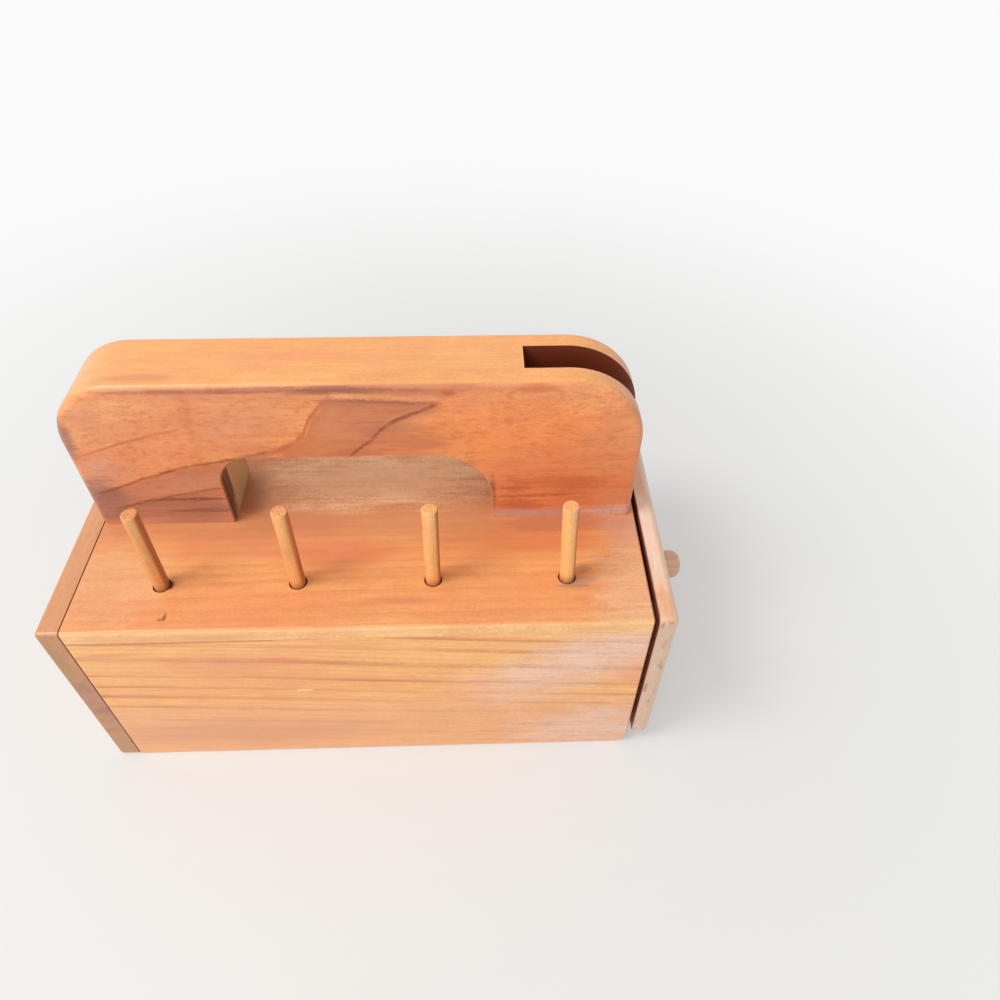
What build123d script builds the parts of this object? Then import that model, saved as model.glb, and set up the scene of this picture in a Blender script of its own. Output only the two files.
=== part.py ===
from build123d import *
import os

# Sewing box for thread spools, in millimetres. A low wooden case holds one drawer, which slides out
# of its right end. Two rows of pegs stand on the case for the spools, and between them a laminated
# handle has a finger hole and a pocket for a pair of shears.
# +X runs towards the drawer's knob, +Z is up, and -Y is the front. The origin is the centre of the
# case's underside.

# Case: five boards. The end plate covers the left ends of the other four.
case_length = 211.2
case_depth = 127.0
case_height = 87.5
end_plate_thickness = 8.2
top_thickness = 6.2
wall_thickness = 8.0
floor_thickness = 8.0
long_edge_radius = 1.5
plate_edge_radius = 1.2
end_edge_chamfer = 0.5
worn_corner_radius = 5.0
seam_chamfer = 0.3

# Handle: two cheeks glued to a core ply, standing on the top along its middle.
front_cheek_thickness = 7.5
core_thickness = 12.5
rear_cheek_thickness = 8.2
handle_rise = 65.3
handle_end_inset = 1.8
left_corner_radius = 23.5
right_corner_radius = 27.5
cheek_edge_radius = 2.4

# Finger hole, open down to the top between the handle's two feet.
left_foot_length = 50.0
right_foot_length = 53.4
finger_hole_height = 33.0
finger_hole_left_radius = 12.0
finger_hole_right_radius = 21.8
finger_hole_edge_chamfer = 0.5

# Shears pocket: the core ply is cut away, so the pocket opens upwards and through the right end.
pocket_floor_web = 4.0
pocket_roof_thickness = 8.0
pocket_length = 121.0
pocket_mouth_length = 42.4
pocket_corner_radius = 3.0

# Countersunk wood screws, one pattern for the handle and one for the knob.
screw_head_radius = 3.4
screw_shank_radius = 1.7
screw_slot_width = 0.9
screw_slot_depth = 0.8
screw_ease = 0.05
handle_screw_length = 32.0
handle_screw_setback = 13.0
knob_screw_length = 18.0

# Spool pegs: a front and a rear row. From just above the top, each peg's root is whittled to flats
# and glued in a wide blind hole. The front row was set by eye, so its pegs lean by a degree or two
# along X.
peg_radius = 2.75
peg_root_flat_count = 12
peg_shoulder_height = 0.6
peg_stand = 37.6
peg_pitch = 48.1
first_peg_distance = 29.8
peg_edge_distance = 20.1
peg_hole_depth = 4.7
peg_hole_ease = 0.5
front_peg_leans = (0.9, 0.5, 1.1, -1.8)
rear_peg_lean = 0.0

# Drawer: a box behind a front that covers the case's right end, down to the floor board.
drawer_ajar = 1.8
drawer_front_thickness = 7.2
drawer_front_drop = 2.0
drawer_front_edge_radius = 3.2
drawer_lip_radius = 3.0
drawer_side_thickness = 6.0
drawer_back_thickness = 6.0
drawer_bottom_thickness = 3.0
drawer_bottom_height = 4.0
drawer_under_gap = 0.3
drawer_head_gap = 1.2
drawer_side_gap = 0.6
drawer_rear_gap = 3.0
front_housing_depth = 2.0
side_groove_depth = 2.5
back_rebate_depth = 3.0
bottom_play = 0.2
drawer_edge_radius = 0.8

# Knob: turned, with a narrow neck and a round head, screwed on from inside the drawer.
knob_length = 18.0
knob_neck_radius = 4.0
knob_head_radius = 6.2
knob_head_length = 7.5
knob_rim_width = 3.0
knob_rim_slope = 0.3
knob_height = 44.0
knob_offset = -3.5

# How far a cutting shape runs past the board that it cuts.
cut_overshoot = 2.0

# How far apart two places may be and still count as one.
place_tolerance = 0.01

# Planes that several pieces share.
left = -case_length / 2
right = case_length / 2
front = -case_depth / 2
rear = case_depth / 2
plate_inner = left + end_plate_thickness
top_under = case_height - top_thickness

handle_left = plate_inner
handle_right = right - handle_end_inset
left_foot_inner = handle_left + left_foot_length
right_foot_inner = handle_right - right_foot_length
pocket_floor = finger_hole_height + pocket_floor_web
pocket_roof = handle_rise - pocket_roof_thickness
mouth_left = handle_right - pocket_mouth_length

drawer_left = plate_inner + drawer_rear_gap
drawer_face_in = right + drawer_ajar
drawer_face_out = drawer_face_in + drawer_front_thickness
drawer_under = floor_thickness + drawer_under_gap
drawer_front_under = drawer_under - drawer_front_drop
drawer_top = top_under - drawer_head_gap
drawer_outer_y = case_depth / 2 - wall_thickness - drawer_side_gap
drawer_inner_y = drawer_outer_y - drawer_side_thickness
bottom_under = drawer_under + drawer_bottom_height
bottom_top = bottom_under + drawer_bottom_thickness


def block(low, high):
    """Square-edged board between two opposite corners."""
    size = [top - bottom for bottom, top in zip(low, high)]
    middle = [(top + bottom) / 2 for bottom, top in zip(low, high)]
    return Pos(*middle) * Box(*size)


def edges_at(solid, axis, **places):
    """Edges parallel to an axis, at the X, Y or Z given."""
    found = solid.edges().filter_by(axis)
    for name, place in places.items():
        found = [edge for edge in found if abs(getattr(edge.center(), name) - place) < place_tolerance]
    return ShapeList(found)


def outline_edges(solid, axis, end):
    """Edges around the first (0) or last (-1) face along an axis, without those at its bottom."""
    face = solid.faces().sort_by(axis)[end]
    low = face.bounding_box().min.Z
    return ShapeList([edge for edge in face.edges() if edge.center().Z > low + place_tolerance])


# Case

def end_plate():
    plate = block((left, front, 0), (plate_inner, rear, case_height))
    plate = fillet(plate.edges().filter_by(Axis.X), long_edge_radius)
    plate = fillet(plate.faces().sort_by(Axis.X)[0].edges(), plate_edge_radius)
    return chamfer(outline_edges(plate, Axis.X, -1), seam_chamfer)


def top_panel():
    panel = block((plate_inner, front, top_under), (right, rear, case_height))
    panel = fillet(edges_at(panel, Axis.X, Z=case_height), long_edge_radius)
    panel = chamfer(outline_edges(panel, Axis.X, -1), end_edge_chamfer)
    panel = chamfer(outline_edges(panel, Axis.X, 0), seam_chamfer)
    panel = chamfer(edges_at(panel, Axis.X, Z=top_under), seam_chamfer)
    for place, lean in peg_places().values():
        panel -= peg_seat(place, lean) * peg_hole()
    for x in handle_screw_places():
        panel -= Pos(x, 0, top_under) * wood_screw_hole(top_thickness)
    return panel


def wall_panel():
    """Front wall, with its lower right corner worn round and its shown edges eased."""
    panel = block((plate_inner, front, 0), (right, front + wall_thickness, top_under))
    panel = fillet(edges_at(panel, Axis.Y, X=right, Z=0), worn_corner_radius)
    face = panel.faces().sort_by(Axis.Y)[0]
    panel = chamfer([edge for edge in face.edges() if not meets_board(edge.center())], end_edge_chamfer)
    face = panel.faces().sort_by(Axis.Y)[0]
    return chamfer([edge for edge in face.edges() if meets_board(edge.center())], seam_chamfer)


def meets_board(place):
    """Whether an edge of a wall lies against the end plate or the top."""
    return place.X < plate_inner + place_tolerance or place.Z > top_under - place_tolerance


def floor_panel():
    inner = case_depth / 2 - wall_thickness
    panel = block((plate_inner, -inner, 0), (right, inner, floor_thickness))
    return chamfer(edges_at(panel, Axis.Y, X=right), end_edge_chamfer)


# Handle

def handle_plane(y):
    """Plane facing the front, with its origin on the case's top."""
    return Plane(origin=(0, y, case_height), x_dir=(1, 0, 0), z_dir=(0, -1, 0))


def panel_sketch(low, high):
    """Rectangle between two corners, each given as a distance along X and a height."""
    width = high[0] - low[0]
    height = high[1] - low[1]
    return Pos(*low) * Rectangle(width, height, align=(Align.MIN, Align.MIN))


def round_top(sketch, left_radius, right_radius):
    """Round a rectangle's two upper corners."""
    sketch = fillet(sketch.vertices().group_by(Axis.Y)[-1].sort_by(Axis.X)[0], left_radius)
    return fillet(sketch.vertices().sort_by(Axis.X)[-2:].sort_by(Axis.Y)[-1], right_radius)


def handle_outline():
    board = panel_sketch((handle_left, 0), (handle_right, handle_rise))
    board = round_top(board, left_corner_radius, right_corner_radius)
    hole = panel_sketch((left_foot_inner, 0), (right_foot_inner, finger_hole_height))
    return board - round_top(hole, finger_hole_left_radius, finger_hole_right_radius)


def pocket_outline():
    """Blind end under the roof, and a mouth that runs out through the top and the right end."""
    inner = handle_right - pocket_length
    bay = panel_sketch((inner, pocket_floor), (mouth_left + cut_overshoot, pocket_roof))
    bay = fillet(bay.vertices().group_by(Axis.X)[0], pocket_corner_radius)
    mouth_end = (handle_right + cut_overshoot, handle_rise + cut_overshoot)
    return bay + panel_sketch((mouth_left, pocket_floor), mouth_end)


def handle_cheek(thickness):
    """Front cheek, rounded over along its outer edges and chamfered around the finger hole."""
    cheek = extrude(handle_plane(-core_thickness / 2) * handle_outline(), amount=thickness)
    shown = outline_edges(cheek, Axis.Y, 0)
    cheek = fillet([edge for edge in shown if not in_finger_hole(edge.center())], cheek_edge_radius)
    shown = outline_edges(cheek, Axis.Y, 0)
    return chamfer([edge for edge in shown if in_finger_hole(edge.center())], finger_hole_edge_chamfer)


def in_finger_hole(place):
    """Whether a point on the handle's face lies on the finger hole's edge."""
    low = place.Z < case_height + finger_hole_height + place_tolerance
    beside_left_foot = place.X > left_foot_inner - place_tolerance
    beside_right_foot = place.X < right_foot_inner + place_tolerance
    return low and beside_left_foot and beside_right_foot


def handle_core():
    core = extrude(handle_plane(0) * (handle_outline() - pocket_outline()), core_thickness / 2, both=True)
    for x in handle_screw_places():
        core -= Pos(x, 0, top_under) * wood_screw_hole(handle_screw_length)
    return core


# Screws

def wood_screw(length):
    """Screw that points up, with its flat head on the XY plane and a slot across the head."""
    cone = screw_head_radius - screw_shank_radius
    head = Pos(0, 0, cone / 2) * Cone(screw_head_radius, screw_shank_radius, cone)
    shank = Pos(0, 0, length / 2) * Cylinder(screw_shank_radius, length)
    slot = Box(2 * screw_head_radius, screw_slot_width, 2 * screw_slot_depth)
    return head + shank - slot


def wood_screw_hole(depth):
    """Countersunk hole for wood_screw, a hair wider than the screw."""
    mouth = screw_head_radius + screw_ease
    bore = screw_shank_radius + screw_ease
    cone = mouth - bore
    sink = Pos(0, 0, cone / 2) * Cone(mouth, bore, cone)
    return sink + Pos(0, 0, depth / 2) * Cylinder(bore, depth)


def handle_screw_places():
    """Two screws in each foot of the handle, as distances along X."""
    left_foot = (handle_left + handle_screw_setback, left_foot_inner - handle_screw_setback)
    right_foot = (right_foot_inner + handle_screw_setback, handle_right - handle_screw_setback)
    return left_foot + right_foot


def handle_screws():
    return Compound([Pos(x, 0, top_under) * wood_screw(handle_screw_length) for x in handle_screw_places()])


# Spool pegs

def peg_places():
    """Each peg's name, with where it stands on the top and its lean, counted from the end plate."""
    places = {}
    y = case_depth / 2 - peg_edge_distance
    for number, lean in enumerate(front_peg_leans):
        x = plate_inner + first_peg_distance + number * peg_pitch
        places[f"spool_peg_front_{number + 1}"] = ((x, -y), lean)
        places[f"spool_peg_rear_{number + 1}"] = ((x, y), rear_peg_lean)
    return places


def peg_seat(place, lean):
    """A peg's axis, with its origin on the top."""
    return Pos(*place, case_height) * Rot(0, lean, 0)


def peg_hole():
    length = peg_hole_depth + cut_overshoot
    return Pos(0, 0, length / 2 - peg_hole_depth) * Cylinder(peg_radius + peg_hole_ease, length)


def spool_peg():
    """Peg along Z, with the top at height 0 and its end sawn square."""
    flats = Pos(0, 0, -peg_hole_depth) * RegularPolygon(peg_radius, peg_root_flat_count)
    root = extrude(flats, peg_hole_depth + peg_shoulder_height)
    length = peg_stand - peg_shoulder_height
    return root + Pos(0, 0, peg_shoulder_height + length / 2) * Cylinder(peg_radius, length)


# Drawer

def drawer_front():
    face = block((drawer_face_in, front, drawer_front_under), (drawer_face_out, rear, case_height))
    rounded = face.edges().filter_by(Axis.X) + face.faces().sort_by(Axis.X)[-1].edges()
    face = fillet(rounded, drawer_front_edge_radius)
    face = chamfer(face.faces().sort_by(Axis.X)[0].edges(), seam_chamfer)
    face -= lip_waste()
    housing = drawer_face_in + front_housing_depth
    for y in (-drawer_outer_y, drawer_inner_y):
        side_end = (housing, y + drawer_side_thickness, drawer_top)
        face -= block((drawer_face_in, y, drawer_under), side_end)
    face -= block((drawer_face_in, -drawer_inner_y, bottom_under), (housing, drawer_inner_y, bottom_top))
    return face - knob_screw_place() * wood_screw_hole(drawer_front_thickness)


def lip_waste():
    """What is planed off the front's lower inner edge to round it."""
    x = drawer_face_in + drawer_lip_radius
    z = drawer_front_under + drawer_lip_radius
    corner = block((drawer_face_in, front, drawer_front_under), (x, rear, z))
    return corner - Pos(x, 0, z) * Rot(90, 0, 0) * Cylinder(drawer_lip_radius, case_depth)


def drawer_side():
    """Front side wall, grooved for the bottom and rebated for the back."""
    housing = drawer_face_in + front_housing_depth
    wall = block((drawer_left, -drawer_outer_y, drawer_under), (housing, -drawer_inner_y, drawer_top))
    wall = fillet(edges_at(wall, Axis.X, Y=-drawer_outer_y), drawer_edge_radius)
    groove_y = -drawer_inner_y - side_groove_depth
    wall -= block((drawer_left, groove_y, bottom_under), (housing, -drawer_inner_y, bottom_top))
    rebate_y = -drawer_inner_y - back_rebate_depth
    rebate_x = drawer_left + drawer_back_thickness
    return wall - block((drawer_left, rebate_y, drawer_under), (rebate_x, -drawer_inner_y, drawer_top))


def drawer_back():
    half = drawer_inner_y + back_rebate_depth
    inside = drawer_left + drawer_back_thickness
    wall = block((drawer_left, -half, drawer_under), (inside, half, drawer_top))
    groove_x = inside - side_groove_depth
    return wall - block((groove_x, -half, bottom_under), (inside, half, bottom_top))


def drawer_bottom():
    half = drawer_inner_y + side_groove_depth - bottom_play
    back_end = drawer_left + drawer_back_thickness - side_groove_depth + bottom_play
    front_end = drawer_face_in + front_housing_depth - bottom_play
    return block((back_end, -half, bottom_under), (front_end, half, bottom_top))


def knob_place():
    """Knob's foot on the drawer front, with its axis turned along X."""
    return Pos(drawer_face_out, knob_offset, knob_height) * Rot(0, 90, 0)


def knob_screw_place():
    return Pos(drawer_face_in, knob_offset, knob_height) * Rot(0, 90, 0)


def drawer_knob():
    """Turned along Z: a neck that flares into a head, whose rim is bevelled twice."""
    head_start = knob_length - knob_head_length
    bevel = knob_rim_width * knob_rim_slope
    outline = Polyline(
        (0, 0),
        (knob_neck_radius, 0),
        (knob_neck_radius, head_start),
        (knob_head_radius, head_start + knob_head_radius - knob_neck_radius),
        (knob_head_radius, knob_length - knob_rim_width),
        (knob_head_radius - bevel, knob_length - bevel),
        (knob_head_radius - knob_rim_width, knob_length),
        (0, knob_length),
        close=True,
    )
    knob = revolve(Plane.XZ * make_face(outline), Axis.Z)
    pilot = knob_screw_length - drawer_front_thickness + screw_ease
    bore = screw_shank_radius + screw_ease
    return knob_place() * (knob - Pos(0, 0, pilot / 2) * Cylinder(bore, pilot))


def knob_screw():
    return knob_screw_place() * wood_screw(knob_screw_length)


def all_pieces():
    wall = wall_panel()
    side = drawer_side()
    pieces = {
        "left_end_plate": end_plate(),
        "top_panel": top_panel(),
        "front_panel": wall,
        "rear_panel": mirror(wall, about=Plane.XZ),
        "floor_panel": floor_panel(),
        "handle_front_cheek": handle_cheek(front_cheek_thickness),
        "handle_core": handle_core(),
        "handle_rear_cheek": mirror(handle_cheek(rear_cheek_thickness), about=Plane.XZ),
        "handle_screws": handle_screws(),
        "drawer_front": drawer_front(),
        "drawer_side_front": side,
        "drawer_side_rear": mirror(side, about=Plane.XZ),
        "drawer_back": drawer_back(),
        "drawer_bottom": drawer_bottom(),
        "drawer_knob": drawer_knob(),
        "knob_screw": knob_screw(),
    }
    for name, (place, lean) in peg_places().items():
        pieces[name] = peg_seat(place, lean) * spool_peg()
    return pieces


os.makedirs("parts", exist_ok=True)
for name, piece in all_pieces().items():
    export_step(piece, f"parts/{name}.step")
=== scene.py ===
import math

import bmesh
import bpy
from mathutils import Matrix, Vector, noise

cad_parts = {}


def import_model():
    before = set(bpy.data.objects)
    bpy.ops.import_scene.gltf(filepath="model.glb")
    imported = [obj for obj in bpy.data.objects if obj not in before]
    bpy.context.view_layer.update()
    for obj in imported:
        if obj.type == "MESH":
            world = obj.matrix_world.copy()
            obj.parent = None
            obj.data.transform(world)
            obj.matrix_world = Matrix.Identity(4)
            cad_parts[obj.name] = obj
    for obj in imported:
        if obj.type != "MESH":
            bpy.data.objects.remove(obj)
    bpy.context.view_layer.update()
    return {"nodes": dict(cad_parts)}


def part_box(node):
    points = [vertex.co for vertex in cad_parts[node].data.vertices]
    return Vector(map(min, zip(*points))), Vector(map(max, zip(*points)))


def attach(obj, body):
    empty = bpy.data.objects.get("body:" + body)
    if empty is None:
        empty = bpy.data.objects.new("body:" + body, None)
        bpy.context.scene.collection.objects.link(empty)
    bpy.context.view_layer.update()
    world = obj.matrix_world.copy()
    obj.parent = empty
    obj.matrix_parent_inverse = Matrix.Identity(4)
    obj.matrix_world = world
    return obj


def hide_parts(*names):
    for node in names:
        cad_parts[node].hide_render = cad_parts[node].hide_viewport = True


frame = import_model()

# Sewing box for thread spools, dressed in procedural wood. Places in the materials are in millimetres,
# in the frame of the solids: X along the case towards the knob, -Y to the front, Z up.

MM = 0.001

# Faces that the marks lie on, in millimetres
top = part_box("top_panel")[1].z / MM
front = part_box("front_panel")[0].y / MM
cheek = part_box("handle_front_cheek")[0].y / MM
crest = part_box("handle_front_cheek")[1].z / MM


# Colours

def colour(red, green, blue):
    """A screen colour, 0 to 255 a channel, as the linear colour that shaders take."""
    linear = []
    for channel in (red, green, blue):
        share = channel / 255
        linear.append(share / 12.92 if share < 0.04045 else ((share + 0.055) / 1.055) ** 2.4)
    return (*linear, 1.0)


# Material building

class Graph:
    """The nodes of a material or of the world."""

    def __init__(self, tree):
        self.tree = tree
        self.tree.nodes.clear()

    def add(self, kind, inputs, **settings):
        """A node of that kind; each input is a value or the output of another node."""
        node = self.tree.nodes.new("ShaderNode" + kind)
        for name, value in settings.items():
            setattr(node, name, value)
        for key, value in inputs.items():
            if isinstance(value, bpy.types.NodeSocket):
                self.tree.links.new(value, node.inputs[key])
            else:
                node.inputs[key].default_value = value
        return node

    def math(self, operation, *values):
        return self.add("Math", dict(enumerate(values)), operation=operation).outputs[0]

    def vector(self, operation, *values):
        node = self.add("VectorMath", dict(enumerate(values)), operation=operation)
        return node.outputs[1 if operation in ("LENGTH", "DOT_PRODUCT") else 0]

    def split(self, vector):
        return self.add("SeparateXYZ", {"Vector": vector}).outputs

    def joined(self, x, y, z):
        return self.add("CombineXYZ", {0: x, 1: y, 2: z}).outputs[0]

    def ramp(self, value, low, high, start=0.0, end=1.0):
        """Smooth step of a value from start, below low, to end, above high."""
        inputs = {"Value": value, "From Min": low, "From Max": high, "To Min": start, "To Max": end}
        return self.add("MapRange", inputs, interpolation_type="SMOOTHSTEP").outputs["Result"]

    def mix(self, amount, under, over, blend_type="MIX"):
        """Two colours mixed, with that amount of the one over."""
        inputs = {0: amount, 6: under, 7: over}
        return self.add("Mix", inputs, data_type="RGBA", blend_type=blend_type).outputs[2]

    def blend(self, first, second, share):
        """Two values mixed, with that share of the second."""
        return self.add("Mix", {0: share, 2: first, 3: second}, data_type="FLOAT").outputs[0]

    def seen(self):
        """1 where a ray comes from the camera, also by way of metal or glass."""
        rays = self.add("LightPath", {}).outputs
        mirrored = self.math("MAXIMUM", rays["Is Glossy Ray"], rays["Is Transmission Ray"])
        return self.math("MAXIMUM", rays["Is Camera Ray"], mirrored)

    def millimetres(self, place):
        """A place given in metres, in millimetres."""
        return self.vector("MULTIPLY", place, (1 / MM, 1 / MM, 1 / MM))

    def noise(self, place, size, detail=2.0, roughness=0.5):
        """Noise from 0 to 1 whose features have that size in millimetres along each axis."""
        scaled = self.vector("DIVIDE", place, size)
        inputs = {"Vector": scaled, "Scale": 1.0, "Detail": detail, "Roughness": roughness}
        return self.add("TexNoise", inputs).outputs["Fac"]

    def swing(self, place, size, reach, detail=2.0):
        """Noise that swings evenly about zero, by about that reach."""
        return self.math("MULTIPLY", self.math("SUBTRACT", self.noise(place, size, detail), 0.5), 2 * reach)

    def line(self, along, points):
        """A height that follows a smooth line through the given pairs of place and height."""
        places = [place for place, _ in points]
        heights = [height for _, height in points]
        start, length = places[0], places[-1] - places[0]
        low, rise = min(heights), max(heights) - min(heights)
        share = self.math("DIVIDE", self.math("SUBTRACT", along, start), length)
        node = self.add("FloatCurve", {"Value": share})
        curve = node.mapping.curves[0]
        for _ in points[2:]:
            curve.points.new(0.5, 0.5)
        for knot, place, height in zip(curve.points, places, heights):
            knot.location = ((place - start) / length, (height - low) / rise)
        node.mapping.update()
        return self.math("ADD", self.math("MULTIPLY", node.outputs[0], rise), low)


class Paint(Graph):
    """The nodes of a new material."""

    def __init__(self, name):
        self.material = bpy.data.materials.new(name)
        self.material.use_nodes = True
        super().__init__(self.material.node_tree)


class Wood(Paint):
    """Varnished wood cut from a log: growth rings around a pith line, fibres along the grain, slow changes
    of colour, darker end grain, paler edges that are partly worn and partly a painted highlight, and marks
    painted over it in turn.

    The grain runs along the axis, and pith is where the pith line crosses the other two axes. Each ring is
    that many millimetres wide, and the rings climb by the slant and wander by the wobble. Late wood begins
    at the crisp share of a ring, and shows by the contrast. Fibre is how strongly the fine shade shows, and
    fuzz is the share of it that is cloudy, not streaky. A shift along the grain makes boards differ."""

    def __init__(self, name, early, late, blush, axis="X", ring=3.0, pith=(-60, -40), slant=0.0, wobble=6.0,
                 contrast=0.4, crisp=0.30, fibre=0.11, fuzz=0.5, blush_share=0.5, shift=0.0, marks=(),
                 roughness=0.42, coat=0.25, end_shade=0.84, rubbed_and_highlit_edges=0.12):
        super().__init__(name)
        coordinates = self.add("TexCoord", {}).outputs
        self.place = self.millimetres(coordinates["Object"])
        self.at = dict(zip("xyz", self.split(self.place)))
        self.toward = dict(zip("xyz", self.split(coordinates["Normal"])))
        across = {"X": "xyz", "Y": "yxz", "Z": "zxy"}[axis]
        run, first, second = (self.at[key] for key in across)
        grain = self.joined(self.math("ADD", run, shift), first, second)

        radius = self.radius(grain, run, first, second, pith, slant, wobble)
        uneven = self.swing(self.joined(radius, 0.0, 0.0), (ring * 3, 1, 1), 0.8, 1.0)
        rings = self.math("ADD", self.math("DIVIDE", radius, ring), uneven)
        strong = self.ramp(self.noise(grain, (90, 14, 14)), 0.30, 0.70, 0.25, contrast)
        band = self.math("MULTIPLY", self.growth(rings, crisp), strong)
        fine_rings = self.math("MULTIPLY", rings, 3.7)
        fine_band = self.math("MULTIPLY", self.growth(fine_rings, 0.3), 0.22 * contrast)
        cloud = self.ramp(self.noise(grain, (75, 22, 22), 3.0), 0.38, 0.68, 0.0, blush_share)
        tone = self.mix(fine_band, self.mix(band, early, late), late)
        tone = self.mix(cloud, tone, blush)

        fine = self.noise(grain, (8, 0.5, 0.5), 3.0, 0.65)
        streak = self.noise(grain, (24, 1.3, 1.3), 3.0, 0.6)
        speck = self.noise(self.place, (1.3, 0.9, 0.9), 3.0, 0.75)
        mottle = self.noise(grain, (13, 5, 5), 3.0, 0.6)
        cloudy = self.blend(speck, mottle, 0.45)
        shade = self.blend(self.blend(fine, streak, 0.45), cloudy, fuzz)
        self.wear = self.blend(streak, cloudy, 0.65)

        end_grain = self.ramp(self.math("ABSOLUTE", self.toward[across[0]]), 0.60, 0.95)
        tone = self.shaded(tone, self.ramp(end_grain, 0.0, 1.0, 1.0, end_shade))
        # paler edges: partly wear, partly a painted highlight where the rounding catches the light
        self.tone = self.mix(self.edges(rubbed_and_highlit_edges), tone, colour(252, 196, 138))
        for paint in marks:
            paint(self)
        fibres = self.ramp(shade, 0.38, 0.62, 1.0 - fibre, 1.0 + fibre)
        pores = self.ramp(self.noise(grain, (3.5, 0.4, 0.4), 1.0), 0.66, 0.80, 1.0, 0.88)
        self.tone = self.shaded(self.shaded(self.tone, fibres, warmth=0.4), pores)

        rough = self.ramp(shade, 0.3, 0.7, roughness - 0.05, roughness + 0.06)
        relief = self.math("SUBTRACT", self.math("MULTIPLY", fine, 0.6), self.math("MULTIPLY", band, 0.5))
        relief = self.math("ADD", relief, self.noise(grain, (38, 11, 11), 1.0))
        bump = self.add("Bump", {"Height": relief, "Strength": 0.3, "Distance": 0.15 * MM})
        shader = self.add("BsdfPrincipled", {
            "Base Color": self.tone, "Roughness": rough, "Coat Weight": coat, "Coat Roughness": 0.22,
            "Normal": bump.outputs["Normal"],
        })
        self.add("OutputMaterial", {"Surface": shader.outputs[0]})

    def radius(self, grain, run, first, second, pith, slant, wobble):
        """How far a place lies from the pith line, which climbs and wanders."""
        drift = self.math("MULTIPLY", run, slant)
        height = self.math("SUBTRACT", self.math("SUBTRACT", second, pith[1]), drift)
        straight = self.vector("LENGTH", self.joined(0.0, self.math("SUBTRACT", first, pith[0]), height))
        wave = self.swing(grain, (150, 45, 45), wobble / 2)
        ripple = self.swing(grain, (16, 5, 5), 0.5, 3.0)
        return self.math("ADD", self.math("ADD", straight, wave), ripple)

    def growth(self, rings, crisp):
        """A growth ring's tone: slowly darker outwards, then back at once."""
        phase = self.math("FRACT", rings)
        return self.math("MULTIPLY", self.ramp(phase, crisp, 0.90), self.ramp(phase, 0.92, 1.0, 1.0, 0.0))

    def edges(self, share):
        """A mask of the rounded edges, where the surface looks along no axis."""
        flattest = self.math("ABSOLUTE", self.toward["x"])
        for key in "yz":
            flattest = self.math("MAXIMUM", flattest, self.math("ABSOLUTE", self.toward[key]))
        return self.ramp(flattest, 0.80, 0.98, share, 0.0)

    def broken(self, mask, share):
        """A mask that the wear of the surface breaks up by that share."""
        return self.math("MULTIPLY", mask, self.ramp(self.wear, 0.42, 0.56, 1.0 - share, 1.0))

    def facing(self, mask, toward):
        """A mask kept on the faces that look toward an axis, such as -y."""
        looks = self.math("MULTIPLY", self.toward[toward[1]], -1.0 if toward[0] == "-" else 1.0)
        return self.math("MULTIPLY", mask, self.ramp(looks, 0.55, 0.90))

    def shaded(self, tone, shade, warmth=0.0):
        """A tone darkened or lightened by a shade; with warmth, its red changes less and its blue more."""
        red = self.math("MULTIPLY_ADD", shade, 1 - warmth, warmth)
        blue = self.math("MULTIPLY_ADD", shade, 1 + warmth, -warmth)
        filtered = self.add("CombineColor", {0: red, 1: shade, 2: blue}).outputs[0]
        return self.mix(1.0, tone, filtered, "MULTIPLY")


# Marks in the wood, and painted light and shade

def blot(centre, size, tint, share=0.6, ragged=0.35, edge=0.35, broken=0.4, toward=None):
    """A soft stain, or soft painted light or shade: an ellipsoid of the given half sizes, its edge and body
    broken up by the wear.
    """
    def paint(wood):
        offset = wood.vector("DIVIDE", wood.vector("SUBTRACT", wood.place, centre), size)
        far = wood.math("ADD", wood.vector("LENGTH", offset), wood.swing(wood.place, (22, 6, 6), ragged, 3.0))
        feather = wood.math("MULTIPLY", wood.math("SUBTRACT", 0.5, wood.wear), 5 * ragged)
        mask = wood.ramp(wood.math("ADD", far, feather), edge, 1.0, share, 0.0)
        if toward:
            mask = wood.facing(mask, toward)
        wood.tone = wood.mix(wood.broken(mask, broken), wood.tone, tint)
    return paint


def patch(tint, share, soft=1.5, ragged=0.0, broken=0.0, toward=None, under=None, over=None, **ranges):
    """A stain, or painted light or shade, between two places along the named axes, on the faces that look
    toward an axis, under one line and over another."""
    def paint(wood):
        mask = share
        sway = wood.swing(wood.place, (9, 9, 9), ragged, 3.0)
        for axis, (low, high) in ranges.items():
            there = wood.math("ADD", wood.at[axis], sway)
            mask = wood.math("MULTIPLY", mask, wood.ramp(there, low - soft, low + soft))
            mask = wood.math("MULTIPLY", mask, wood.ramp(there, high - soft, high + soft, 1.0, 0.0))
        if toward:
            mask = wood.facing(mask, toward)
        for points, sign in ((under, -1.0), (over, 1.0)):
            if points:
                gap = wood.math("SUBTRACT", wood.at["z"], wood.line(wood.at["x"], points))
                gap = wood.math("ADD", wood.math("MULTIPLY", gap, sign), sway)
                mask = wood.math("MULTIPLY", mask, wood.ramp(gap, -soft / 3, soft))
        wood.tone = wood.mix(wood.broken(mask, broken), wood.tone, tint)
    return paint


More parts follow.
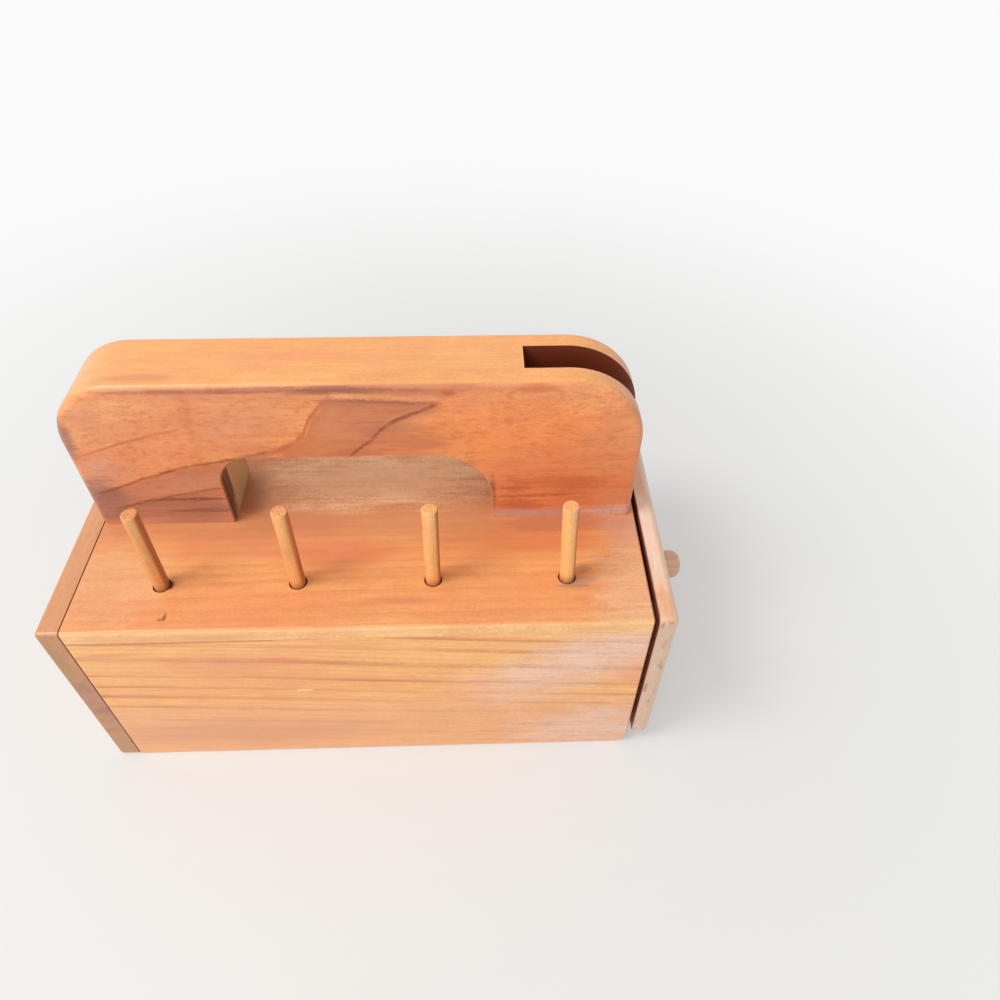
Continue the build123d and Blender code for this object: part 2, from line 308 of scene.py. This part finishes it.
def vein(points, tint, width=0.7, share=0.6, side=-1.0, shade=0.3, reach=6.0, sway=1.2, along="x"):
    """A frayed and broken line over a face that looks along Y, with a soft shade on one side of it. It runs
    along X or Z, and its points pair a place on that axis with one on the other."""
    def paint(wood):
        run = wood.at[along]
        first, last = points[0][0], points[-1][0]
        gap = wood.math("SUBTRACT", wood.at["z" if along == "x" else "x"], wood.line(run, points))
        gap = wood.math("ADD", gap, wood.swing(wood.place, (11, 11, 11), sway, 4.0))
        gap = wood.math("ADD", gap, wood.swing(wood.place, (1.4, 1.0, 1.0), width * 0.45, 3.0))
        inside = wood.math("MULTIPLY", wood.ramp(run, first - 2, first + 4),
                           wood.ramp(run, last - 3, last + 1, 1.0, 0.0))
        core = wood.ramp(wood.math("ABSOLUTE", gap), width * 0.1, width, share, 0.0)
        fading = wood.ramp(wood.noise(wood.place, (7, 7, 7)), 0.30, 0.60, 0.55, 1.0)
        core = wood.broken(wood.math("MULTIPLY", core, fading), 0.35)
        beside = wood.math("MULTIPLY", gap, side)
        halo = wood.math("MULTIPLY", wood.ramp(beside, 0.0, reach, shade, 0.0), wood.ramp(beside, -0.8, 0.5))
        mask = wood.math("MULTIPLY", wood.math("MAXIMUM", core, wood.broken(halo, 0.3)), inside)
        wood.tone = wood.mix(mask, wood.tone, tint)
    return paint


def flecks(tint, share, size, low, high, toward=None):
    """Specks of that size, which come in as their noise climbs from low to high."""
    def paint(wood):
        mask = wood.ramp(wood.noise(wood.place, size, 2.0), low, high, 0.0, share)
        if toward:
            mask = wood.facing(mask, toward)
        wood.tone = wood.mix(mask, wood.tone, tint)
    return paint


# Finish of every solid

def finish(node, material):
    """Gives a solid its one material."""
    mesh = frame["nodes"][node].data
    mesh.materials.clear()
    mesh.materials.append(material)


cedar_light = colour(246, 174, 108)
cedar_mid = colour(206, 126, 76)
cedar_red = colour(236, 142, 92)
handle_top = colour(252, 174, 102)
vein_tint = colour(138, 64, 40)
red_vein = colour(196, 92, 60)
faint_vein = colour(176, 104, 78)
plum = colour(154, 88, 64)
painted_light_behind_hole = colour(255, 206, 154)
painted_sheen = colour(242, 210, 196)
painted_recess_shade = colour(112, 26, 14)
seam = colour(110, 50, 30)
nick = colour(104, 52, 28)
grey_stain = colour(150, 98, 80)
hole_left = colour(200, 178, 128)
hole_right = colour(184, 148, 126)
burnt = colour(92, 20, 6)
plain_light = colour(238, 202, 152)
plain_dark = colour(208, 160, 108)

# Case

top_marks = [
    # slow changes of tone in front of the handle, and a painted sheen at the right end
    blot((-84, -44, top), (26, 24, 8), colour(232, 176, 124), 0.6),
    blot((-45, -25, top), (34, 9, 8), colour(230, 138, 96), 0.6),
    blot((-4, -30, top), (34, 8, 8), colour(230, 132, 90), 0.6),
    blot((60, -25, top), (46, 9, 8), colour(218, 126, 80), 0.65),
    blot((17, -52, top), (16, 2.2, 8), colour(206, 134, 86), 0.6),
    # a painted sheen, pale, at the right end
    blot((98, -50, top), (16, 26, 8), colour(240, 188, 148), 0.6),
    # the strip under the handle, darker; a pale painted light behind the finger hole, in the handle's shadow,
    # and a painted shadow beside the left foot
    patch(colour(206, 132, 90), 0.6, soft=5, ragged=1.5, broken=0.2, toward="+z", y=(-22, 20)),
    blot((5, 9, top), (66, 22, 8), painted_light_behind_hole, 0.98, broken=0.1),
    blot((-46, 2, top), (12, 15, 8), colour(164, 104, 56), 0.8, broken=0.1),
    # redder wood along the handle's foot
    blot((-24, -15, top), (26, 8, 8), colour(214, 132, 88), 0.65),
    blot((74, -17, top), (32, 7, 8), colour(198, 116, 82), 0.75),
    blot((100, -20, top), (12, 10, 8), colour(212, 154, 128), 0.75),
    # a stain round the fourth peg
    blot((82, -45, top), (8, 5, 3), colour(188, 138, 114), 0.7, ragged=0.5),
    blot((79, -47, top), (8, 2.6, 3), colour(178, 130, 110), 0.7, ragged=0.5),
    blot((83, -40, top), (4, 3, 3), colour(164, 108, 82), 0.5, ragged=0.6),
    # a painted shadow in the open side of the first peg's hole, and a nick in front of it
    blot((-64.6, -43.4, top), (1.7, 2.6, 1), colour(84, 34, 18), 0.95, ragged=0.1, broken=0.0),
    blot((-63.2, -57.2, top), (0.9, 2.8, 1), nick, 0.9, ragged=0.3),
    blot((-64.4, -58.4, top), (1.8, 0.9, 1), nick, 0.8, ragged=0.3),
    # the front edge: a painted highlight along it, and darker towards the left
    patch(colour(255, 202, 136), 0.8, broken=0.3, toward="-y"),
    blot((-60, front, 83.5), (40, 3, 2.6), colour(232, 160, 106), 0.6),
    # painted shade inside the peg holes, and on the end over the drawer's gap
    patch(colour(70, 32, 18), 0.85, soft=0.15, x=(-96, 104), y=(-60, 60), z=(70, 87.2)),
    patch(painted_recess_shade, 0.5, toward="+x", x=(104, 107)),
]
finish("top_panel", Wood("top_wood", cedar_light, cedar_mid, cedar_red, ring=4.5, pith=(-260, 30), slant=0.01,
                         wobble=9, contrast=0.22, fuzz=0.6, blush_share=0.5, marks=top_marks).material)

front_marks = [
    # the lower band, and a red line under the top board
    patch(colour(242, 174, 122), 0.75, soft=5, ragged=2, broken=0.2, z=(-5, 37)),
    blot((-54, front, 81.2), (62, 3, 0.8), colour(196, 84, 56), 0.75),
    # slow changes of tone
    blot((-48, front, 66), (26, 9, 9), colour(240, 156, 112), 0.6),
    blot((-27, front, 69), (10, 3, 3), colour(236, 128, 88), 0.5, ragged=0.6, edge=0.1),
    blot((-86, front, 74), (14, 3, 1.6), colour(232, 124, 88), 0.6, ragged=0.5),
    blot((-50, front, 16), (70, 9, 13), colour(218, 148, 108), 0.6),
    blot((36, front, 68), (42, 8, 16), colour(255, 192, 114), 0.4, ragged=0.2),
    # a short pale scratch
    blot((-21, front, 47.8), (4.5, 3, 0.8), colour(252, 212, 166), 0.7, ragged=0.3, broken=0.2),
    # a painted sheen, the reflection of the pale floor, on the right end, up and to the right
    *[blot((x, front, z), (34, 20, 21), painted_sheen, share, ragged=0.18, edge=0.0, broken=0.15)
      for x, z, share in ((98, 74, 0.55), (84, 64, 0.5), (70, 54, 0.4), (55, 45, 0.32))],
    # the right edge, and a pale painted sheen on the lower corner
    blot((104, front, 54), (12, 20, 9), colour(240, 156, 116), 0.5, ragged=0.5),
    blot((92, front, 12), (48, 20, 26), colour(238, 196, 174), 0.8, ragged=0.4, edge=0.1, broken=0.2),
    # painted shade on the end over the drawer's gap
    patch(painted_recess_shade, 0.5, toward="+x", x=(104, 107)),
]
finish("front_panel", Wood("front_wood", colour(255, 188, 116), colour(206, 120, 70), cedar_red, ring=7.2,
                           pith=(10, 170), slant=-0.075, wobble=3.5, contrast=0.95, crisp=0.56,
                           blush_share=0.3, shift=300, marks=front_marks).material)

finish("rear_panel", Wood("rear_wood", cedar_light, cedar_mid, cedar_red, ring=7.4, pith=(-10, 150),
                          slant=0.04, wobble=4, contrast=0.6, crisp=0.5, shift=700).material)
finish("floor_panel", Wood("floor_wood", cedar_light, cedar_mid, cedar_red, ring=5.2, pith=(40, -60),
                           contrast=0.5, shift=1100).material)

end_marks = [
    # the front and top edges
    patch(colour(192, 128, 84), 0.75, toward="-y"),
    patch(colour(216, 150, 104), 0.8, toward="+z"),
    # grey stains down the front edge
    blot((-100, front, 42), (7, 5, 24), colour(178, 122, 102), 0.65),
    blot((-103, front, 54), (5, 5, 3.4), grey_stain, 0.45, ragged=0.6),
    blot((-100, front, 36), (5, 5, 3.4), grey_stain, 0.45, ragged=0.6),
    blot((-102, front, 21), (6, 5, 3), colour(150, 104, 80), 0.4, ragged=0.6),
    blot((-103, front, 70), (3, 5, 18), colour(176, 132, 84), 0.8),
    blot((-101, front, 8), (8, 5, 10), colour(180, 142, 96), 0.7),
    flecks(colour(140, 88, 62), 0.5, (2.5, 2.5, 2.5), low=0.58, high=0.75, toward="-y"),
    # the seam to the boards of the case
    patch(seam, 0.9, soft=0.15, x=(-97.7, -90)),
]
finish("left_end_plate", Wood("end_wood", colour(240, 180, 126), colour(206, 138, 92), colour(222, 156, 112),
                              axis="Y", ring=5.0, pith=(-70, 30), contrast=0.4, shift=200, rubbed_and_highlit_edges=0.0,
                              marks=end_marks).material)

# Handle. Its veins are pairs of X and Z, but the steep end of vein_a is pairs of Z and X.

vein_a = [(-97, 121), (-76, 129), (-55, 134.5)]
vein_a_end = [(134, -54), (141, -51), (150, -50)]
vein_b = [(-95, 104), (-72, 112), (-57, 117), (-45, 119.6), (-27, 123.5)]
vein_b_end = [(-29, 122.5), (-16, 130), (-10, 140), (-4, 147), (-2, 150)]
vein_c = [(-90, 96), (-68, 102), (-46, 106.7)]
vein_d = [(-1, 119.5), (5, 125.3), (8.2, 128.6), (12.1, 133.1), (16.5, 136.6), (24.6, 140.8), (33, 144.6)]
under_b = vein_b[:-1] + vein_b_end[1:]

handle_front_marks = [
    # darker wood under the second vein, and between it and the last one
    patch(colour(200, 136, 110), 0.85, soft=5, ragged=1, broken=0.2, under=under_b, x=(-130, -28)),
    patch(colour(200, 124, 86), 0.8, soft=3, ragged=1, broken=0.35, under=under_b, over=vein_d, x=(-24, 60)),
    # slow changes of tone over the finger hole
    blot((-38, cheek, 136), (22, 8, 13), colour(224, 148, 110), 0.7),
    blot((60, cheek, 134), (50, 8, 18), colour(250, 146, 74), 0.65),
    blot((84, cheek, 144), (16, 8, 8), colour(255, 172, 104), 0.6),
    blot((-71, cheek, 143.5), (12, 8, 5), colour(255, 186, 124), 0.5),
    blot((-30, cheek, 148.5), (36, 8, 3.5), colour(214, 138, 100), 0.6),
    blot((-32, cheek, 125), (14, 8, 5), colour(208, 130, 88), 0.6),
    blot((4, cheek, 122.5), (14, 8, 3.5), colour(180, 104, 72), 0.6),
    blot((19, cheek, 128), (22, 8, 12), colour(194, 116, 82), 0.8, ragged=0.4, edge=0.3),
    blot((-87, cheek, 116), (14, 8, 9), colour(206, 146, 122), 0.55),
    flecks(colour(214, 108, 62), 0.4, (4.5, 2, 1.5), low=0.50, high=0.68, toward="-y"),
    # the right foot, redder and with a dark streak, and a pale painted reflection along the bases of both
    # feet
    patch(colour(222, 118, 70), 0.7, soft=14, ragged=5, broken=0.5, x=(48, 120), z=(70, 122)),
    blot((80, cheek, 104), (38, 8, 10), colour(196, 96, 58), 0.7, ragged=0.7, edge=0.05),
    blot((66, cheek, 99.3), (16, 8, 1.6), colour(158, 74, 48), 0.7, ragged=0.4),
    blot((61, cheek, 96), (13, 8, 9), colour(182, 88, 58), 0.6, ragged=0.5),
    # pale painted reflection along the bases of the feet
    patch(colour(208, 158, 136), 0.9, soft=2, ragged=1.5, broken=0.3, x=(50, 86), z=(84, 92)),
    blot((96, cheek, 98), (12, 8, 6), colour(232, 152, 108), 0.5),
    blot((96, cheek, 90.5), (17, 8, 4.2), colour(222, 180, 164), 0.9, ragged=0.3, edge=0.3),
    blot((-70, cheek, 88.5), (24, 8, 2.5), colour(196, 146, 132), 0.6, ragged=0.5),
    # the left end and foot: purplish brown, with two dark streaks
    blot((-96, cheek, 132), (5, 8, 16), colour(150, 102, 92), 0.8, ragged=0.2),
    blot((-92, cheek, 100), (15, 8, 15), colour(154, 106, 94), 0.85),
    blot((-66, cheek, 96), (30, 8, 10), colour(168, 112, 92), 0.85),
    blot((-62, cheek, 100.8), (17, 8, 1.6), colour(124, 70, 50), 0.85, ragged=0.5),
    blot((-60, cheek, 94.5), (16, 8, 1.6), colour(140, 84, 68), 0.7, ragged=0.6),
    # the upper edge and the left corner
    blot((-34, cheek, 150.8), (56, 3, 1.5), colour(160, 88, 66), 0.8),
    blot((2, cheek, 150.4), (28, 3, 2.3), plum, 0.85, ragged=0.3, edge=0.4, broken=0.3),
    blot((36, cheek, 148.7), (2.6, 3, 1.8), colour(200, 90, 64), 0.7),
    blot((65, cheek, 150), (10, 3, 2.4), colour(208, 108, 62), 0.6),
    blot((-86, cheek, 140), (8, 3, 5), colour(214, 142, 112), 0.5),
    # fine lines between the two long veins
    vein([(-4, 148.2), (16, 147.1), (34, 146.4)], colour(248, 174, 116), width=1.7, share=0.8, shade=0.0),
    vein([(-8, 146.2), (13, 145.2), (33, 144.4)], plum, width=1.1, share=0.85, shade=0.4, reach=5.0),
    vein([(-3, 141.5), (8, 141), (24, 141.3)], faint_vein, width=0.8, share=0.5, shade=0.15),
    vein([(-2, 137), (10, 136.5), (20, 136.8)], faint_vein, width=0.8, share=0.5, shade=0.15),
    # the veins, the last one with redder wood below it
    vein(vein_a, red_vein, width=1.0, share=0.75, shade=0.15),
    vein(vein_a_end, red_vein, width=2.4, share=0.28, shade=0.12, along="z"),
    vein(vein_b, vein_tint, width=1.3, share=0.9, shade=0.35, reach=9.0),
    vein(vein_b_end, red_vein, width=2.2, share=0.85, shade=0.25, reach=9.0),
    vein(vein_c, vein_tint, width=1.2, share=0.85),
    vein(vein_d, colour(190, 112, 80), width=1.0, share=0.0, shade=0.6, reach=7.0),
    vein(vein_d, vein_tint, width=1.6, share=0.95, side=1.0, shade=0.15, sway=1.6),
    # the rounded top, and stains on it
    patch(handle_top, 0.85, toward="+z", z=(118, 160)),
    blot((-64, -8.8, crest), (14, 3.6, 2), colour(212, 130, 90), 0.6, ragged=0.5),
    blot((-80, -9.5, crest), (9, 3.2, 2), colour(214, 156, 106), 0.5, ragged=0.7),
    # painted shade inside the shears pocket, and the finger hole, with its scorched left edge
    patch(painted_recess_shade, 0.9, soft=0.3, toward="+y"),
    patch(hole_left, 0.9, toward="+x", x=(-60, 0)),
    patch(burnt, 0.95, soft=0.8, ragged=1.5, broken=0.1, toward="+x", x=(-60, 0), y=(-15, -11.4)),
    blot((-47.4, cheek, 107), (20, 12, 23), burnt, 0.95, ragged=0.35, edge=0.55, broken=0.1, toward="+x"),
    blot((50.6, cheek, 101), (1.8, 3, 13), colour(130, 56, 38), 0.7, ragged=0.2, edge=0.3, toward="-y"),
    patch(hole_right, 0.85, toward="-x", x=(0, 60)),
]
finish("handle_front_cheek", Wood(
    "handle_front_wood", colour(244, 164, 104), colour(208, 122, 76), colour(232, 148, 100), ring=6.0,
    pith=(30, 300), slant=0.06, wobble=10, contrast=0.2, blush_share=0.7, shift=500, fibre=0.13, fuzz=0.72,
    rubbed_and_highlit_edges=0.0, marks=handle_front_marks).material)

core_marks = [
    # the top
    patch(handle_top, 0.7, toward="+z"),
    blot((-14, 2, crest), (34, 4, 3), colour(246, 156, 100), 0.7),
    # painted shade inside the shears pocket
    patch(painted_recess_shade, 0.9, soft=0.3, x=(-17.6, 110), z=(124.2, 145.1), y=(-6.2, 6.2)),
    patch(painted_recess_shade, 0.9, soft=0.3, toward="+x", x=(58, 63)),
    # inside the finger hole
    patch(hole_left, 0.9, toward="+x", x=(-60, -20), z=(80, 122)),
    patch(hole_right, 0.85, toward="-x", x=(0, 60), z=(80, 122)),
]
finish("handle_core", Wood("handle_core_wood", colour(246, 174, 110), cedar_mid, cedar_red, ring=5.0,
                           pith=(-80, 60), contrast=0.3, shift=900, rubbed_and_highlit_edges=0.0, marks=core_marks).material)

handle_rear_marks = [
    # the top, painted shade inside the shears pocket, and the finger hole
    patch(handle_top, 0.85, toward="+z", z=(118, 160)),
    patch(painted_recess_shade, 0.9, soft=0.3, toward="-y"),
    patch(hole_left, 0.9, toward="+x", x=(-60, 0)),
    patch(hole_right, 0.85, toward="-x", x=(0, 60)),
]
finish("handle_rear_cheek", Wood("handle_rear_wood", colour(240, 162, 104), cedar_mid, cedar_red, ring=6.0,
                                 pith=(-40, 260), contrast=0.4, shift=1500, rubbed_and_highlit_edges=0.0,
                                 marks=handle_rear_marks).material)

# Drawer

drawer_front_marks = [
    # the upper edge
    blot((111, -55, 86), (6, 14, 8), colour(236, 164, 104), 0.8, ragged=0.4),
    blot((110, 6, top), (3, 16, 3), colour(236, 164, 112), 0.6, ragged=0.5),
    # the front end, speckled
    patch(colour(216, 180, 154), 0.8, toward="-y"),
    flecks(colour(168, 112, 86), 0.6, (2.4, 2.4, 5), low=0.54, high=0.70, toward="-y"),
    # the outer face
    patch(colour(240, 202, 176), 0.6, soft=0.8, x=(112.6, 120)),
    # the inner face: painted shade, dark red, for the gap behind the front; plain where it closes the drawer
    patch(colour(150, 62, 36), 0.9, toward="-x"),
    patch(plain_light, 0.9, soft=0.3, toward="-x", y=(-48.9, 48.9), z=(8, 80.1)),
]
finish("drawer_front", Wood("drawer_front_wood", colour(252, 218, 192), colour(234, 188, 156),
                            colour(246, 198, 170), axis="Y", ring=4.6, pith=(150, 20), contrast=0.3,
                            shift=400, end_shade=1.0, rubbed_and_highlit_edges=0.0, marks=drawer_front_marks).material)


def plain_wood(name, axis):
    """Unvarnished softwood, for the inside of the drawer."""
    return Wood(name, plain_light, plain_dark, plain_dark, axis=axis, ring=4.0, pith=(-30, 140), contrast=0.4,
                coat=0.0, roughness=0.62, rubbed_and_highlit_edges=0.1).material


drawer_box_wood = plain_wood("drawer_box_wood", "X")
for node in ("drawer_side_front", "drawer_side_rear", "drawer_bottom"):
    finish(node, drawer_box_wood)
finish("drawer_back", plain_wood("drawer_back_wood", "Y"))

# Knob and pegs

knob_wood = Wood("knob_wood", colour(246, 204, 166), colour(182, 138, 102), colour(212, 162, 126), ring=2.4,
                 pith=(-3.5, 60), contrast=0.4, fuzz=0.7, rubbed_and_highlit_edges=0.0)
peg_marks = [
    # the sawn tops
    flecks(colour(168, 104, 64), 0.6, (0.8, 0.8, 0.8), low=0.50, high=0.68, toward="+z"),
    # darker pegs to the left, lighter ones to the right
    patch(colour(208, 132, 76), 0.4, soft=4, x=(-90, -45)),
    patch(colour(255, 194, 122), 0.5, soft=4, x=(10, 90)),
    # painted shade on the right side and at the foot of each
    patch(colour(164, 84, 48), 0.85, broken=0.3, toward="+x"),
    patch(colour(176, 104, 66), 0.7, soft=2.4, z=(80, 90)),
]
peg_wood = Wood("peg_wood", colour(250, 180, 112), colour(222, 150, 92), colour(236, 154, 92), axis="Z",
                ring=2.2, pith=(30, 20), contrast=0.3, fibre=0.15, fuzz=0.7, coat=0.1, end_shade=0.94,
                rubbed_and_highlit_edges=0.0, marks=peg_marks)


def steel():
    """Bright, brushed steel for the screws."""
    graph = Paint("screw_steel")
    place = graph.millimetres(graph.add("TexCoord", {}).outputs["Object"])
    wear = graph.noise(place, (0.6, 0.6, 0.6))
    rough = graph.ramp(wear, 0.3, 0.7, 0.28, 0.42)
    bump = graph.add("Bump", {"Height": wear, "Strength": 0.2, "Distance": 0.05 * MM})
    shader = graph.add("BsdfPrincipled", {"Base Color": colour(205, 200, 190), "Metallic": 1.0,
                                          "Roughness": rough, "Normal": bump.outputs["Normal"]})
    graph.add("OutputMaterial", {"Surface": shader.outputs[0]})
    return graph.material


screw_steel = steel()
for node in ("handle_screws", "knob_screw"):
    finish(node, screw_steel)


# Turned pieces, which replace the plain ones of the solids

def piece(name, shape, material, body, slot, *nodes):
    """A new object from a shape, in place of those nodes of the frame."""
    mesh = bpy.data.meshes.new(name)
    shape.to_mesh(mesh)
    shape.free()
    mesh.materials.append(material)
    made = bpy.data.objects.new(name, mesh)
    bpy.context.scene.collection.objects.link(made)
    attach(made, body)
    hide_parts(*nodes)
    return made


def lathe(base, along, sides, rings):
    """A closed shape of rings about a line; each ring gives its height and radius at an angle."""
    shape = bmesh.new()
    turn = Vector((0, 0, 1)).rotation_difference(along).to_matrix()
    loops = []
    for ring in rings:
        loop = []
        for step in range(sides):
            angle = 2 * math.pi * step / sides
            height, radius = ring(angle)
            spot = Vector((radius * math.cos(angle), radius * math.sin(angle), height))
            loop.append(shape.verts.new(base + turn @ spot))
        loops.append(loop)
    for lower, upper in zip(loops, loops[1:]):
        for step in range(sides):
            after = (step + 1) % sides
            face = shape.faces.new((lower[step], lower[after], upper[after], upper[step]))
            face.smooth = True
    shape.faces.new(reversed(loops[0]))
    shape.faces.new(loops[-1]).smooth = True
    return shape


def ends(node):
    """The middles of a peg's lowest and highest rings of corners."""
    ring_height = 0.5 * MM
    spots = [vertex.co for vertex in frame["nodes"][node].data.vertices]
    low = min(spot.z for spot in spots)
    high = max(spot.z for spot in spots)
    foot = [spot for spot in spots if spot.z < low + ring_height]
    tip = [spot for spot in spots if spot.z > high - ring_height]
    return sum(foot, Vector()) / len(foot), sum(tip, Vector()) / len(tip)


def spool_peg(node, number):
    """A dowel, sawn off by hand: slightly out of round, with a rough top that the saw left askew."""
    radius = 2.75 * MM
    sides, stages = 28, 12
    out_of_round = 0.012
    flat_from = 0.955
    sawn_slope = 0.05
    saw_mark, saw_mark_size = 0.10 * MM, 0.7 * MM
    foot, tip = ends(node)
    along = (tip - foot).normalized()
    length = (tip - foot).length
    seed = Vector((7.3 * number, 1.9, 4.1))
    flat_turn = 1.3 * number
    skew = Vector((math.cos(2.1 * number), math.sin(2.1 * number))) * sawn_slope

    def skin(share, angle, level):
        """The radius at a share of the length, scaled by the level, with one side worn flat."""
        out = Vector((math.cos(angle), math.sin(angle), 6 * share))
        bulge = 1 + out_of_round * noise.noise(out * 1.4 + seed)
        flat = math.cos(angle - flat_turn)
        trim = flat_from / flat if flat > flat_from else 1.0
        return level * radius * bulge * trim

    def side(share):
        return lambda angle: (share * length, skin(share, angle, 1.0))

    def sawn(level, drop):
        def ring(angle):
            reach = skin(1.0, angle, level)
            spot = Vector((reach * math.cos(angle), reach * math.sin(angle)))
            rough = saw_mark * noise.noise(Vector((*spot, 0)) / saw_mark_size + seed)
            return length - drop * MM + rough + spot.dot(skew), reach
        return ring

    rings = [side(stage / stages) for stage in range(stages)]
    rings += [sawn(1.0, 0.45), sawn(0.97, 0.25), sawn(0.90, 0.12)]
    rings += [sawn(level, 0.10) for level in (0.72, 0.5, 0.25)]
    shape = lathe(foot, along, sides, rings)
    piece(f"{node}_dowel", shape, peg_wood.material, "case", "peg_wood", node)


def knob():
    """A turned knob: a waisted neck under a barrel head, smooth from the lathe. Its profile pairs heights
    and radii in millimetres."""
    sides = 24
    profile = [(0.0, 4.3), (0.5, 4.15), (3.0, 3.95), (6.6, 3.95), (8.8, 4.4), (10.2, 5.5), (11.1, 6.0),
               (12.9, 6.2), (14.8, 6.1), (16.3, 5.5), (17.35, 4.3), (17.85, 2.6), (18.0, 1.0)]
    low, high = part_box("drawer_knob")
    middle = (low + high) / 2
    rings = [lambda angle, spot=spot: (spot[0] * MM, spot[1] * MM) for spot in profile]
    shape = lathe(Vector((low.x, middle.y, middle.z)), Vector((1, 0, 0)), sides, rings)
    made = piece("drawer_knob_turned", shape, knob_wood.material, "drawer", "knob_wood", "drawer_knob")
    smooth = made.modifiers.new("smooth", "SUBSURF")
    smooth.levels = smooth.render_levels = 2


pegs = [node for node in sorted(frame["nodes"]) if node.startswith("spool_peg")]
for number, node in enumerate(pegs):
    spool_peg(node, number)
knob()


# Stage: a pale floor, soft lamps and the camera

def floor():
    """A pale floor that keeps the box's shadow near it and fades to white away from it."""
    half_size = 4.0
    below = 0.2 * MM
    fade_from, fade_to = 0.12, 0.55
    glow_near = 0.32
    mesh = bpy.data.meshes.new("floor")
    corners = [(x * half_size, y * half_size, 0) for x, y in ((-1, -1), (1, -1), (1, 1), (-1, 1))]
    mesh.from_pydata(corners, [], [(0, 1, 2, 3)])
    made = bpy.data.objects.new("floor", mesh)
    made.location = (0, 0, -below)
    bpy.context.scene.collection.objects.link(made)
    graph = Paint("floor_paint")
    paint = graph.add("BsdfPrincipled", {"Base Color": colour(228, 228, 225), "Roughness": 0.6})
    place = graph.add("TexCoord", {}).outputs["Object"]
    far = graph.ramp(graph.vector("LENGTH", place), fade_from, fade_to, glow_near, 1.0)
    glow = graph.add("Emission", {"Color": colour(250, 250, 250), "Strength": 1.0})
    share = graph.math("MULTIPLY", far, graph.seen())
    mixed = graph.add("MixShader", {0: share, 1: paint.outputs[0], 2: glow.outputs[0]})
    graph.add("OutputMaterial", {"Surface": mixed.outputs[0]})
    mesh.materials.append(graph.material)


def world():
    """An even white sky, brighter to the camera than to the box."""
    light, backdrop = 0.52, 0.96
    made = bpy.data.worlds.new("studio")
    bpy.context.scene.world = made
    made.use_nodes = True
    graph = Graph(made.node_tree)
    strength = graph.ramp(graph.seen(), 0.0, 1.0, light, backdrop)
    background = graph.add("Background", {"Color": (1, 1, 1, 1), "Strength": strength})
    graph.add("OutputWorld", {"Surface": background.outputs[0]})


def lamp(name, place, size, power):
    """A soft round lamp that points at the middle of the box."""
    aim = Vector((0, 0, 0.05))
    light = bpy.data.lights.new(name, "AREA")
    light.shape = "DISK"
    light.size = size
    light.energy = power
    made = bpy.data.objects.new(name, light)
    made.location = place
    made.rotation_euler = (aim - Vector(place)).to_track_quat("-Z", "Y").to_euler()
    bpy.context.scene.collection.objects.link(made)


def camera():
    """Looks down at the box from in front."""
    place = (0.0453, -0.2170, 0.3108)
    pitch, yaw, roll = math.radians(46.39), math.radians(-2.30), math.radians(0.65)
    ahead = Vector((-math.sin(yaw) * math.cos(pitch), math.cos(yaw) * math.cos(pitch), -math.sin(pitch)))
    level = Vector((math.cos(yaw), math.sin(yaw), 0))
    right = level * math.cos(roll) + level.cross(ahead) * math.sin(roll)
    up = right.cross(ahead)
    lens = bpy.data.cameras.new("camera")
    lens.lens = 28.17
    lens.sensor_width = 36
    lens.clip_start = 0.01
    made = bpy.data.objects.new("camera", lens)
    made.matrix_world = Matrix((right, up, -ahead)).transposed().to_4x4()
    made.location = place
    bpy.context.scene.collection.objects.link(made)
    bpy.context.scene.camera = made


floor()
world()
lamp("key", (-0.7, -0.3, 1.2), size=0.6, power=9)
lamp("fill", (-0.5, -1.2, 0.6), size=1.2, power=4.8)
camera()
bpy.context.scene.view_settings.view_transform = "Standard"
